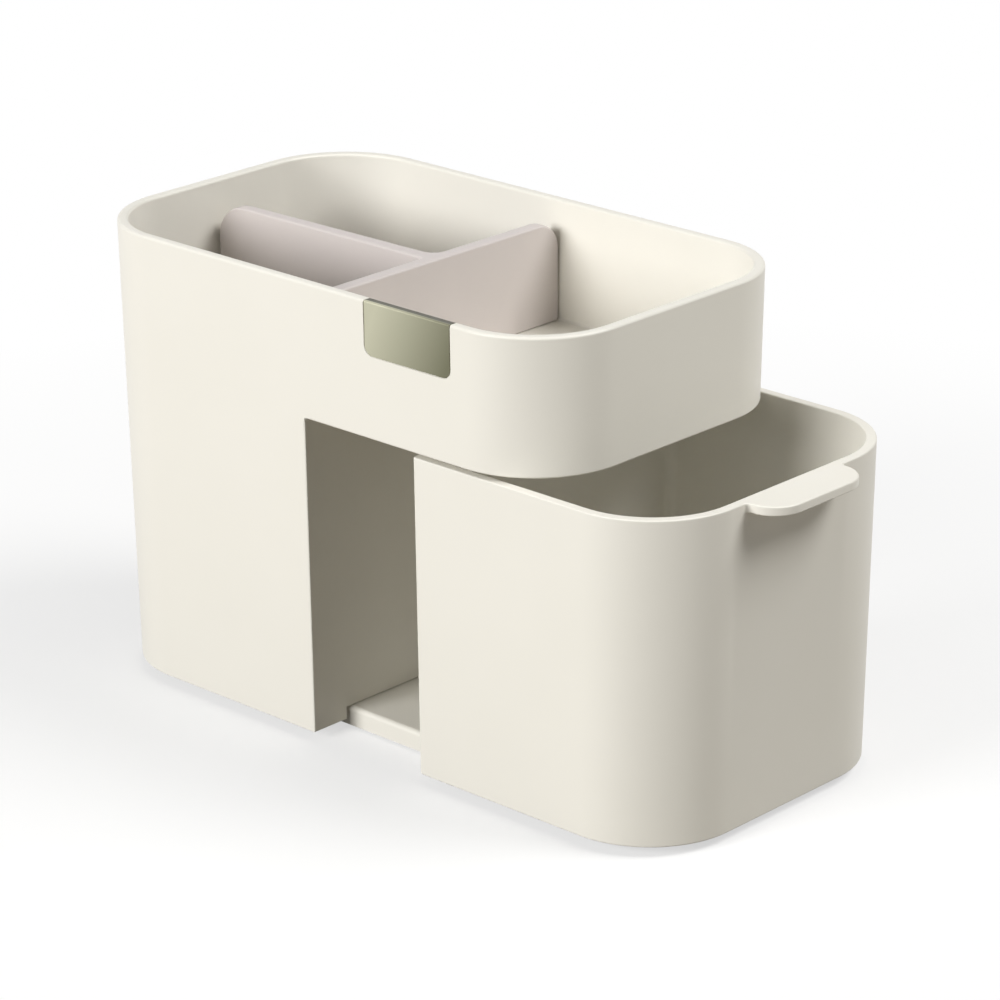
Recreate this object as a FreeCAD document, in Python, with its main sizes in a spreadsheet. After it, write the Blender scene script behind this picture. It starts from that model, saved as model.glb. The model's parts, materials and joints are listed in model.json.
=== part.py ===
"""Makeup organizer: a drafted one-piece body with a deep compartment, a shallow tray and a bay under it,
a drawer that slides in the bay along a base plate, a loose T-shaped divider and a bare metal badge.

Millimetres, +Z up. The origin is on the table, in the middle of the body's footprint. +X is the way the
drawer opens and -Y is the front. The drawer stands part way out, as it is shown for sale.
"""
import FreeCAD, Part
import math
import os
import Sketcher
from FreeCAD import Placement, Rotation, Vector

# Driving dimensions: name, value in millimetres (slopes are millimetres per millimetre), meaning
SIZES = [
    ("body_length", 201.5, "outer length of the body at its rim"),
    ("body_width", 120.0, "outer width of the body at its rim"),
    ("wall_height", 149.4, "from the lower edge of the walls to the rim"),
    ("wall", 3.55, "body wall"),
    ("wall_slope", 0.0127, "how far every outer wall leans in for each millimetre down"),
    ("corner_left", 32.5, "plan radius of the body's left corners"),
    ("corner_right", 31.2, "plan radius of the right corners of body and drawer"),
    ("rim_round", 0.9, "rounding of rims"),
    ("tray_height", 105.5, "tray's underside above the lower edge of the walls"),
    ("tray_floor", 3.6, "thickness of the tray's floor"),
    ("tray_round", 3.0, "fillet round the tray's floor"),
    ("bay_length", 99.3, "from the partition's face to the body's right end"),
    ("bay_round", 1.2, "fillet between partition and tray"),
    ("floor_height", 10.5, "space under both floors, above the lower edge of the walls"),
    ("floor_thickness", 3.0, "deep compartment's floor and drawer's floor"),
    ("floor_round", 3.0, "fillet round both floors"),
    ("compartment_corner", 4.5, "plan radius of the deep compartment beside the partition"),
    ("plate_inset", 17.7, "base plate's edge from the body's outline"),
    ("slot_margin", 5.0, "base plate left beyond the right end of the keeper's slot"),
    ("plate_corner", 15.0, "plan radius of the base plate"),
    ("plate_thickness", 6.4, "base plate, top to underside"),
    ("plate_skin", 3.0, "base plate's top skin over its hollow underside"),
    ("plate_rib", 2.2, "edge wall and ribs under the base plate"),
    ("plate_drop", 2.4, "base plate's underside below the lower edge of the walls"),
    ("plate_round", 1.5, "rounding of the base plate's top edge"),
    ("notch_gap", 1.5, "space between the base plate's sides and the partition's notch"),
    ("foot_diameter", 12.0, "rubber foot"),
    ("foot_proud", 0.8, "rubber foot below the base plate"),
    ("foot_seat", 1.0, "depth of a foot's seat in the base plate"),
    ("foot_inset", 12.5, "foot's centre from the base plate's edges"),
    ("foot_round", 0.5, "rounding of a foot's lower edge"),
    ("boss_diameter", 8.0, "screw bosses under the deep compartment"),
    ("screw_from_foot", 15.55, "left-hand base screws, right of the feet"),
    ("screw_from_partition", 11.9, "right-hand base screws, left of the partition"),
    ("screw_inset", 10.3, "base screws in from the base plate's sides"),
    ("screw_diameter", 3.0, "thread of every screw"),
    ("screw_reach", 9.0, "base screw under its head"),
    ("screw_head", 5.6, "head diameter of every screw"),
    ("screw_head_height", 1.9, "base screw's pan head"),
    ("screw_play", 0.05, "radial play between a screw and its hole"),
    ("drawer_gap", 0.3, "between closed drawer and partition"),
    ("drawer_proud", 0.35, "closed drawer's right end beyond the body's"),
    ("drawer_headroom", 1.3, "between drawer rim and tray"),
    ("drawer_wall", 3.3, "drawer wall"),
    ("drawer_edge", 1.5, "plan radius of the drawer's left edges, outside"),
    ("drawer_inner_corner", 3.5, "plan radius of the drawer's left corners, inside"),
    ("drawer_out", 45.35, "how far the drawer stands out here"),
    ("slide_play", 0.3, "between the drawer's runners and the base plate"),
    ("runner_thickness", 2.0, "ribs under the drawer's floor"),
    ("runner_spread", 28.0, "the two glide ribs from the mid-plane"),
    ("guide_free", 0.8, "guide ribs end this far above the lower edge of the walls"),
    ("tab_reach", 11.9, "finger tab beyond the drawer's end"),
    ("tab_margin", 6.4, "finger tab's sides inside the flat of the drawer's end"),
    ("tab_thickness", 3.0, "finger tab"),
    ("tab_corner", 10.2, "plan radius of the tab's outer corners"),
    ("tab_root", 1.5, "fillet between tab and drawer wall"),
    ("tab_round", 0.5, "rounding of the tab's edges"),
    ("keeper_setback", 4.0, "keeper's neck from the drawer's left face"),
    ("keeper_neck", 12.0, "keeper's neck along the slide"),
    ("keeper_neck_width", 19.4, "keeper's neck across"),
    ("keeper_lip", 2.5, "keeper's flange beyond its neck along the slide"),
    ("keeper_lip_side", 7.0, "keeper's flange beyond its neck across"),
    ("keeper_flange", 1.8, "thickness of the keeper's flange"),
    ("keeper_boss", 7.5, "bosses that hold the keeper"),
    ("keeper_screw_spread", 6.0, "keeper's two screws from the mid-plane"),
    ("keeper_screw_reach", 9.0, "keeper screw with its head"),
    ("divider_thickness", 4.7, "cross fin"),
    ("divider_overhang", 0.7, "cross fin beyond the partition's bay side"),
    ("divider_top", 6.5, "divider's top below the rim"),
    ("divider_fall", 0.6, "how much lower the long fin's free end is"),
    ("divider_play", 0.5, "divider from the long walls and the partition"),
    ("divider_tip_play", 0.9, "divider from the left end wall"),
    ("divider_end", 11.7, "radius of the long fin's upper corner"),
    ("divider_shoulder", 9.2, "radius of the cross fin's upper corners"),
    ("divider_fin_root", 5.6, "long fin's thickness beside the cross fin"),
    ("divider_fin_tip", 4.4, "long fin's thickness at its free end"),
    ("divider_fillet_back", 4.5, "inner corner between the fins, behind"),
    ("divider_fillet_front", 1.2, "inner corner between the fins, in front"),
    ("divider_clear", 5.0, "radius of the fins' lower corners"),
    ("badge_width", 35.3, "badge across"),
    ("badge_drop", 17.2, "badge below the rim"),
    ("badge_centre", 46.0, "badge's middle, right of the body's middle"),
    ("badge_metal", 0.5, "badge sheet"),
    ("badge_film", 0.2, "adhesive film under the badge"),
    ("badge_recess", 0.75, "depth of the badge's seat"),
    ("badge_gap", 0.2, "between the badge's edge and its seat"),
    ("badge_corner", 3.2, "radius of the badge's lower corners"),
    ("cut_margin", 2.0, "how far a cut runs past what it cuts"),
]

doc = FreeCAD.newDocument("makeup_organizer")


class Measure:
    """A length that is both a number and the formula over the size cells which gives that number."""

    def __init__(self, value, text):
        self.value = value
        self.text = text

    def combined(self, other, sign, value):
        text = other.text if isinstance(other, Measure) else repr(float(other))
        return Measure(value, f"({self.text} {sign} {text})")

    def __add__(self, other):
        return self.combined(other, "+", self.value + number(other))

    def __sub__(self, other):
        return self.combined(other, "-", self.value - number(other))

    def __mul__(self, other):
        return self.combined(other, "*", self.value * number(other))

    def __truediv__(self, other):
        return self.combined(other, "/", self.value / number(other))

    def __neg__(self):
        return Measure(-self.value, f"(0 - {self.text})")


def number(measure):
    return measure.value if isinstance(measure, Measure) else float(measure)


class Sizes:
    """The spreadsheet of driving dimensions. Each cell's alias is an attribute that holds a Measure."""

    def __init__(self):
        self.sheet = doc.addObject("Spreadsheet::Sheet", "sizes")
        for row, (name, value, meaning) in enumerate(SIZES, 1):
            self.sheet.set(f"A{row}", name)
            self.sheet.set(f"B{row}", str(value))
            self.sheet.set(f"C{row}", meaning)
            self.sheet.setAlias(f"B{row}", name)
            setattr(self, name, Measure(value, f"sizes.{name}"))
        doc.recompute()


s = Sizes()

# Levels above the table
WALLS_LOW = s.foot_proud + s.plate_drop
RIM = WALLS_LOW + s.wall_height
TRAY_UNDER = WALLS_LOW + s.tray_height
TRAY_FLOOR = TRAY_UNDER + s.tray_floor
FLOOR_UNDER = WALLS_LOW + s.floor_height
FLOOR_TOP = FLOOR_UNDER + s.floor_thickness
PLATE_TOP = s.foot_proud + s.plate_thickness
SKIN_UNDER = PLATE_TOP - s.plate_skin
DRAWER_RIM = TRAY_UNDER - s.drawer_headroom
RUNNER_LOW = PLATE_TOP + s.slide_play
KEEPER_TOP = SKIN_UNDER - s.slide_play
KEEPER_LOW = KEEPER_TOP - s.keeper_flange
DIVIDER_TOP = RIM - s.divider_top
BLADE_LOW = FLOOR_TOP + s.slide_play

# Places along the length, from the body's middle
BAY_LEFT = s.body_length / 2 - s.bay_length
PARTITION_LEFT = BAY_LEFT - s.wall
DRAWER_LEFT = BAY_LEFT + s.drawer_gap + s.drawer_out
PLATE_HALF_LENGTH = s.body_length / 2 - s.plate_inset
PLATE_HALF_WIDTH = s.body_width / 2 - s.plate_inset
SCREWS_LEFT = -(PLATE_HALF_LENGTH - s.foot_inset) + s.screw_from_foot
SCREWS_RIGHT = PARTITION_LEFT - s.screw_from_partition
NECK_LEFT = DRAWER_LEFT + s.keeper_setback
FIN_RIGHT = BAY_LEFT + s.divider_overhang
FIN_LEFT = FIN_RIGHT - s.divider_thickness


def lean(level):
    """How far the outer walls have leant in at that level."""
    return s.wall_slope * (RIM - level)


def half_length(level):
    return s.body_length / 2 - lean(level)


def half_width(level):
    return s.body_width / 2 - lean(level)


def drawer_right(level):
    """The drawer's right end at that level, where the drawer stands."""
    return half_length(level) + s.drawer_proud + s.drawer_out


TAB_TIP = drawer_right(DRAWER_RIM) + s.tab_reach
FOOTPRINT_MIDDLE = (TAB_TIP - half_length(RIM)) / 2


# Sketches

def new_body(label):
    body = doc.addObject("PartDesign::Body", label)
    body.Label = label
    return body


def sketch_on(body, name, role, offset=None):
    """An empty sketch on one of the body's origin planes, moved along that plane's normal."""
    sketch = body.newObject("Sketcher::SketchObject", f"{body.Name}_{name}")
    plane = [feature for feature in body.Origin.OriginFeatures if feature.Role == role][0]
    sketch.AttachmentSupport = [(plane, "")]
    sketch.MapMode = "FlatFace"
    if offset is not None:
        sketch.setExpression("AttachmentOffset.Base.z", offset.text)
    return sketch


def tie(sketch, name, constraint, measure):
    """Adds a dimension to a sketch and binds it to its formula."""
    index = sketch.addConstraint(constraint)
    sketch.renameConstraint(index, name)
    sketch.setExpression(f"Constraints.{name}", measure.text)


def add_rectangle(sketch, left, right, low, high, corners=(None, None, None, None), name="r"):
    """A rectangle whose corners, from the low left one anticlockwise, have a radius or are sharp."""
    radius = [number(corner) if corner is not None else 0.0 for corner in corners]
    l, r, b, t = left.value, right.value, low.value, high.value
    ends = [
        (Vector(l + radius[0], b, 0), Vector(r - radius[1], b, 0)),
        (Vector(r, b + radius[1], 0), Vector(r, t - radius[2], 0)),
        (Vector(r - radius[2], t, 0), Vector(l + radius[3], t, 0)),
        (Vector(l, t - radius[3], 0), Vector(l, b + radius[0], 0)),
    ]
    lines = [sketch.addGeometry(Part.LineSegment(a, z), False) for a, z in ends]
    tie(sketch, f"{name}_low", Sketcher.Constraint("DistanceY", lines[0], 1, b), low)
    tie(sketch, f"{name}_right", Sketcher.Constraint("DistanceX", lines[1], 1, r), right)
    tie(sketch, f"{name}_high", Sketcher.Constraint("DistanceY", lines[2], 1, t), high)
    tie(sketch, f"{name}_left", Sketcher.Constraint("DistanceX", lines[3], 1, l), left)
    for line, direction in zip(lines, ("Horizontal", "Vertical", "Horizontal", "Vertical")):
        sketch.addConstraint(Sketcher.Constraint(direction, line))
    turns = [(l, b, 1, 1), (r, b, -1, 1), (r, t, -1, -1), (l, t, 1, -1)]
    for i, (x, y, inward_x, inward_y) in enumerate(turns):
        before = lines[i - 1]
        if not radius[i]:
            sketch.addConstraint(Sketcher.Constraint("Coincident", before, 2, lines[i], 1))
            continue
        centre = Vector(x + inward_x * radius[i], y + inward_y * radius[i], 0)
        start = math.pi + i * math.pi / 2
        circle = Part.Circle(centre, Vector(0, 0, 1), radius[i])
        arc = sketch.addGeometry(Part.ArcOfCircle(circle, start, start + math.pi / 2), False)
        sketch.addConstraint(Sketcher.Constraint("Tangent", before, 2, arc, 1))
        sketch.addConstraint(Sketcher.Constraint("Tangent", arc, 2, lines[i], 1))
        tie(sketch, f"{name}_corner_{i}", Sketcher.Constraint("Radius", arc, radius[i]), corners[i])


def add_polygon(sketch, points, name="p"):
    """A closed outline of straight edges through points, each a pair of measures."""
    places = [Vector(x.value, y.value, 0) for x, y in points]
    lines = [
        sketch.addGeometry(Part.LineSegment(places[i], places[(i + 1) % len(places)]), False)
        for i in range(len(places))
    ]
    for i, (x, y) in enumerate(points):
        sketch.addConstraint(Sketcher.Constraint("Coincident", lines[i - 1], 2, lines[i], 1))
        tie(sketch, f"{name}_{i}_across", Sketcher.Constraint("DistanceX", lines[i], 1, x.value), x)
        tie(sketch, f"{name}_{i}_up", Sketcher.Constraint("DistanceY", lines[i], 1, y.value), y)


def add_circle(sketch, x, y, diameter, name="c"):
    centre = Vector(x.value, y.value, 0)
    circle = sketch.addGeometry(Part.Circle(centre, Vector(0, 0, 1), diameter.value / 2), False)
    tie(sketch, f"{name}_across", Sketcher.Constraint("DistanceX", circle, 3, x.value), x)
    tie(sketch, f"{name}_up", Sketcher.Constraint("DistanceY", circle, 3, y.value), y)
    tie(sketch, f"{name}_diameter", Sketcher.Constraint("Diameter", circle, diameter.value), diameter)


# Features. Each one is computed at once, and has to add or remove material as its name says.

def finish_feature(body, feature, before, grows):
    doc.recompute()
    body.Tip = feature
    change = feature.Shape.Volume - before
    if (change > 0) is not grows:
        raise RuntimeError(f"{feature.Name} changes the volume by {change:.2f} mm3")
    return feature


def volume_of(body):
    return body.Shape.Volume if body.Tip and not body.Shape.isNull() else 0.0


def extrude(kind, body, sketch, length, midplane=False, backwards=False):
    before = volume_of(body)
    feature = body.newObject(f"PartDesign::{kind}", f"{sketch.Name}_{kind.lower()}")
    feature.Profile = sketch
    if midplane:
        feature.SideType = "Symmetric"
    feature.Reversed = backwards
    feature.setExpression("Length", length.text)
    return finish_feature(body, feature, before, kind == "Pad")


def loft(kind, body, lower, upper):
    before = volume_of(body)
    feature = body.newObject(f"PartDesign::{kind}", f"{lower.Name}_loft")
    feature.Profile = lower
    feature.Sections = [upper]
    feature.Ruled = True
    return finish_feature(body, feature, before, kind == "AdditiveLoft")


def round_edges(body, name, radius, chosen, grows=False):
    """Rounds or fillets the edges of the body's last feature that chosen accepts."""
    last = body.Tip
    names = [f"Edge{i}" for i, edge in enumerate(last.Shape.Edges, 1) if chosen(edge)]
    if not names:
        raise RuntimeError(f"{body.Name}: no edge for {name}")
    before = volume_of(body)
    fillet = body.newObject("PartDesign::Fillet", f"{body.Name}_{name}")
    fillet.Base = (last, names)
    fillet.setExpression("Radius", radius.text)
    return finish_feature(body, fillet, before, grows)


NEAR = 1e-4


def at_level(edge, level):
    """Whether all of the edge lies at that level."""
    return abs(edge.BoundBox.ZMin - level.value) < NEAR and abs(edge.BoundBox.ZMax - level.value) < NEAR


def is_along(edge, direction):
    """Whether the edge is straight and runs along that direction."""
    ends = (edge.FirstParameter, edge.LastParameter)
    return all(edge.tangentAt(end).cross(direction).Length < NEAR for end in ends)


def middle(edge):
    return edge.valueAt((edge.FirstParameter + edge.LastParameter) / 2)


def drafted_prism(kind, body, name, outline, low, high):
    """A loft between the outlines that outline(sketch, level) draws at two levels."""
    sketches = []
    for suffix, level in (("low", low), ("high", high)):
        sketch = sketch_on(body, f"{name}_{suffix}", "XY_Plane", level)
        outline(sketch, level)
        sketches.append(sketch)
    doc.recompute()
    return loft(kind, body, *sketches)


# Body: outer form, bay, tray, deep compartment

def body_outline(inset):
    """The body's plan, inset by a wall or by nothing."""
    def draw(sketch, level):
        along = half_length(level) - inset
        across = half_width(level) - inset
        left, right = s.corner_left - inset, s.corner_right - inset
        add_rectangle(sketch, -along, along, -across, across, (left, right, right, left))
    return draw


def compartment_outline(sketch, level):
    """The deep compartment's plan. Its partition is a little thicker towards the floor."""
    along = half_length(level) - s.wall
    across = half_width(level) - s.wall
    right = PARTITION_LEFT - s.wall_slope * (RIM - level)
    left_corner, right_corner = s.corner_left - s.wall, s.compartment_corner
    corners = (left_corner, right_corner, right_corner, left_corner)
    add_rectangle(sketch, -along, right, -across, across, corners)


def make_body_shell():
    body = new_body("body_shell")
    none = s.wall * 0
    drafted_prism("AdditiveLoft", body, "walls", body_outline(none), WALLS_LOW, RIM)

    bay = sketch_on(body, "bay", "XZ_Plane")
    add_rectangle(bay, BAY_LEFT, s.body_length / 2 + s.cut_margin, WALLS_LOW - s.cut_margin, TRAY_UNDER)
    extrude("Pocket", body, bay, s.body_width + s.cut_margin * 2, midplane=True)
    round_edges(
        body, "bay_corner", s.bay_round, grows=True,
        chosen=lambda e: at_level(e, TRAY_UNDER) and abs(middle(e).x - BAY_LEFT.value) < NEAR,
    )

    drafted_prism("SubtractiveLoft", body, "tray", body_outline(s.wall), TRAY_FLOOR, RIM)
    round_edges(body, "tray_fillet", s.tray_round, lambda e: at_level(e, TRAY_FLOOR), grows=True)
    drafted_prism("SubtractiveLoft", body, "compartment", compartment_outline, FLOOR_TOP, RIM)
    round_edges(body, "floor_fillet", s.floor_round, lambda e: at_level(e, FLOOR_TOP), grows=True)
    round_edges(body, "rim", s.rim_round, lambda e: at_level(e, RIM))

    make_body_underside(body)
    make_badge_seat(body)
    return body


def make_body_underside(body):
    """Hollow under the compartment's floor, its screw bosses, and the base plate's notch."""
    along = half_length(WALLS_LOW) - s.wall
    across = half_width(WALLS_LOW) - s.wall
    left_corner, right_corner = s.corner_left - s.wall, s.compartment_corner
    hollow = sketch_on(body, "hollow", "XY_Plane", FLOOR_UNDER)
    corners = (left_corner, right_corner, right_corner, left_corner)
    add_rectangle(hollow, -along, BAY_LEFT - s.wall * 1.5, -across, across, corners)
    extrude("Pocket", body, hollow, s.floor_height + s.cut_margin)

    bosses = sketch_on(body, "bosses", "XY_Plane", PLATE_TOP)
    for name, x, y in screw_places():
        add_circle(bosses, x, y, s.boss_diameter, name)
    extrude("Pad", body, bosses, FLOOR_UNDER - PLATE_TOP)
    pilots = sketch_on(body, "pilots", "XY_Plane", PLATE_TOP)
    for name, x, y in screw_places():
        add_circle(pilots, x, y, s.screw_diameter + s.screw_play * 2, name)
    extrude("Pocket", body, pilots, s.screw_reach - s.plate_skin + s.screw_play * 4, backwards=True)

    notch = sketch_on(body, "notch", "YZ_Plane", BAY_LEFT + s.cut_margin)
    notch_half = PLATE_HALF_WIDTH + s.notch_gap
    add_rectangle(notch, -notch_half, notch_half, WALLS_LOW - s.cut_margin, RUNNER_LOW)
    extrude("Pocket", body, notch, s.wall * 1.5 + s.cut_margin * 2)


def screw_places():
    """Name and place of each base screw."""
    spread = PLATE_HALF_WIDTH - s.screw_inset
    rows = (("left", SCREWS_LEFT), ("right", SCREWS_RIGHT))
    sides = (("front", -spread), ("back", spread))
    return [(f"{row}_{side}", x, y) for row, x in rows for side, y in sides]


# Badge: seat in the rim, film and sheet, all bent over the rim along the drafted front

def add_bent_strip(sketch, outer, inner, drop):
    """Section of a strip that covers the rim's top and runs down the front, between two depths."""
    front = -s.body_width / 2
    back = front + s.wall
    foot = front + s.wall_slope * drop
    add_polygon(sketch, [
        (foot + outer, RIM - drop), (foot + inner, RIM - drop), (front + inner, RIM - inner),
        (back, RIM - inner), (back, RIM - outer), (front + outer, RIM - outer),
    ])


def bent_strip(body, name, kind, outer, inner, drop, width):
    """The strip itself, with its two lower corners rounded."""
    section = sketch_on(body, name, "YZ_Plane", s.badge_centre - width / 2)
    add_bent_strip(section, outer, inner, drop)
    extrude(kind, body, section, width, backwards=kind == "Pocket")
    sides = ((s.badge_centre - width / 2).value, (s.badge_centre + width / 2).value)
    return sides


def round_strip_corners(body, name, radius, sides, drop, grows):
    """Rounds the strip's short edges at its foot, where it is cut square."""
    level = (RIM - drop).value
    round_edges(
        body, name, radius, grows=grows,
        chosen=lambda e: abs(middle(e).z - level) < NEAR and e.BoundBox.YLength > NEAR
        and min(abs(middle(e).x - x) for x in sides) < NEAR,
    )


def make_badge_seat(body):
    drop, width = s.badge_drop + s.badge_gap, s.badge_width + s.badge_gap * 2
    sides = bent_strip(body, "badge_seat", "Pocket", -s.cut_margin, s.badge_recess, drop, width)
    round_strip_corners(body, "badge_seat_corners", s.badge_corner + s.badge_gap, sides, drop, grows=True)


def make_badge():
    plate = new_body("badge_plate")
    outer = s.badge_recess - s.badge_film - s.badge_metal
    sides = bent_strip(plate, "sheet", "Pad", outer, outer + s.badge_metal, s.badge_drop, s.badge_width)
    round_strip_corners(plate, "corners", s.badge_corner, sides, s.badge_drop, grows=False)
    film = new_body("badge_adhesive")
    inner = s.badge_recess - s.badge_film
    width, drop = s.badge_width - s.badge_gap * 4, s.badge_drop - s.badge_gap * 2
    sides = bent_strip(film, "film", "Pad", inner, s.badge_recess, drop, width)
    round_strip_corners(film, "corners", s.badge_corner, sides, drop, grows=False)
    return [plate, film]


# Base plate, its feet and screws

def foot_places():
    """Name and place of each rubber foot."""
    along, across = PLATE_HALF_LENGTH - s.foot_inset, PLATE_HALF_WIDTH - s.foot_inset
    return [
        ("foot_front_left", -along, -across),
        ("foot_front_right", along, -across),
        ("foot_back_left", -along, across),
        ("foot_back_right", along, across),
    ]


def make_base_plate():
    body = new_body("base_plate")
    edge = sketch_on(body, "outline", "XY_Plane", s.foot_proud)
    corners = (s.plate_corner,) * 4
    along, across = PLATE_HALF_LENGTH, PLATE_HALF_WIDTH
    add_rectangle(edge, -along, along, -across, across, corners)
    extrude("Pad", body, edge, s.plate_thickness)
    round_edges(body, "top_edge", s.plate_round, lambda e: at_level(e, PLATE_TOP))

    hollow = sketch_on(body, "hollow", "XY_Plane", SKIN_UNDER)
    along, across = PLATE_HALF_LENGTH - s.plate_rib, PLATE_HALF_WIDTH - s.plate_rib
    corners = (s.plate_corner - s.plate_rib,) * 4
    add_rectangle(hollow, -along, along, -across, across, corners)
    depth = s.plate_thickness - s.plate_skin
    extrude("Pocket", body, hollow, depth + s.cut_margin)

    # Ribs: a channel wall each side of the keeper, and one rib between the two pairs of screws
    channel = s.keeper_neck_width / 2 + s.keeper_lip_side + s.slide_play * 2
    for side, low in (("front", -channel - s.plate_rib), ("back", channel)):
        rib = sketch_on(body, f"rib_{side}", "XY_Plane", s.foot_proud)
        add_rectangle(rib, -along - s.plate_rib / 2, along + s.plate_rib / 2, low, low + s.plate_rib)
        extrude("Pad", body, rib, depth)
    cross = sketch_on(body, "rib_cross", "XY_Plane", s.foot_proud)
    screw_middle = (SCREWS_LEFT + SCREWS_RIGHT) / 2
    half_rib = s.plate_rib / 2
    cross_half = across + half_rib
    add_rectangle(cross, screw_middle - half_rib, screw_middle + half_rib, -cross_half, cross_half)
    extrude("Pad", body, cross, depth)

    # Pillars that carry the feet, each with a seat
    pillars = sketch_on(body, "pillars", "XY_Plane", s.foot_proud)
    seats = sketch_on(body, "seats", "XY_Plane", s.foot_proud + s.foot_seat)
    for name, x, y in foot_places():
        add_circle(pillars, x, y, s.foot_diameter + s.plate_rib * 2, name)
        add_circle(seats, x, y, s.foot_diameter, name)
    extrude("Pad", body, pillars, depth)
    extrude("Pocket", body, seats, s.foot_seat + s.cut_margin)

    # Screw holes, and the slot that the keeper's neck runs in
    holes = sketch_on(body, "holes", "XY_Plane", PLATE_TOP)
    for name, x, y in screw_places():
        add_circle(holes, x, y, s.screw_diameter + s.screw_play * 2, name)
    slot_left = NECK_LEFT - s.drawer_out - s.slide_play
    slot_right = PLATE_HALF_LENGTH - s.slot_margin
    half_slot = s.keeper_neck_width / 2 + s.slide_play
    add_rectangle(holes, slot_left, slot_right, -half_slot, half_slot, (s.plate_rib / 2,) * 4, name="slot")
    extrude("Pocket", body, holes, s.plate_thickness + s.cut_margin)
    return body


def make_foot(label, x, y):
    body = new_body(label)
    disc = sketch_on(body, "disc", "XY_Plane")
    add_circle(disc, x, y, s.foot_diameter - s.screw_play * 2)
    extrude("Pad", body, disc, s.foot_proud + s.foot_seat)
    round_edges(body, "lower_edge", s.foot_round, lambda e: at_level(e, Measure(0.0, "0")))
    return body


def cylinder(name, diameter, height, x, y, low):
    solid = doc.addObject("Part::Cylinder", name)
    solid.setExpression("Radius", (diameter / 2).text)
    solid.setExpression("Height", height.text)
    solid.setExpression("Placement.Base.x", x.text)
    solid.setExpression("Placement.Base.y", y.text)
    solid.setExpression("Placement.Base.z", low.text)
    return solid


def cross_recess(name, x, y, low, depth):
    """Two crossed bars, the screwdriver's recess."""
    bars = []
    long, thin = s.screw_head * 0.6, s.screw_head * 0.16
    for suffix, along, across in (("a", long, thin), ("b", thin, long)):
        bar = doc.addObject("Part::Box", f"{name}_{suffix}")
        bar.setExpression("Length", along.text)
        bar.setExpression("Width", across.text)
        bar.setExpression("Height", depth.text)
        bar.setExpression("Placement.Base.x", (x - along / 2).text)
        bar.setExpression("Placement.Base.y", (y - across / 2).text)
        bar.setExpression("Placement.Base.z", low.text)
        bars.append(bar)
    return joined(name, bars)


def joined(name, solids):
    fuse = doc.addObject("Part::MultiFuse", name)
    fuse.Shapes = solids
    return fuse


def cut(name, base, tool):
    result = doc.addObject("Part::Cut", name)
    result.Base = base
    result.Tool = tool
    return result


def group(label, solids):
    """One node of several separate solids."""
    compound = doc.addObject("Part::Compound", label)
    compound.Label = label
    compound.Links = solids
    return compound


def make_base_screws():
    """Pan-head screws: the head under the base plate's skin, the shank up into a boss."""
    screws = []
    for place, x, y in screw_places():
        name = f"base_screw_{place}"
        head_low = SKIN_UNDER - s.screw_head_height
        head = cylinder(f"{name}_head", s.screw_head, s.screw_head_height, x, y, head_low)
        shank = cylinder(f"{name}_shank", s.screw_diameter, s.screw_reach, x, y, SKIN_UNDER)
        depth = s.screw_head_height / 2
        recess = cross_recess(f"{name}_recess", x, y, head_low - depth, depth * 2)
        screws.append(cut(name, joined(f"{name}_solid", [head, shank]), recess))
    return group("base_screws", screws)


# Drawer

def drawer_outline(inset, left_corner):
    def draw(sketch, level):
        across = half_width(level) - inset
        right_corner = s.corner_right - inset
        corners = (left_corner, right_corner, right_corner, left_corner)
        add_rectangle(sketch, DRAWER_LEFT + inset, drawer_right(level) - inset, -across, across, corners)
    return draw


def make_drawer():
    body = new_body("drawer")
    none = s.wall * 0
    outside = drawer_outline(none, s.drawer_edge)
    drafted_prism("AdditiveLoft", body, "walls", outside, WALLS_LOW, DRAWER_RIM)
    make_tab(body)
    inside = drawer_outline(s.drawer_wall, s.drawer_inner_corner)
    drafted_prism("SubtractiveLoft", body, "tub", inside, FLOOR_TOP, DRAWER_RIM)
    round_edges(body, "floor_fillet", s.floor_round, lambda e: at_level(e, FLOOR_TOP), grows=True)
    make_drawer_underside(body)
    return body


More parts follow.
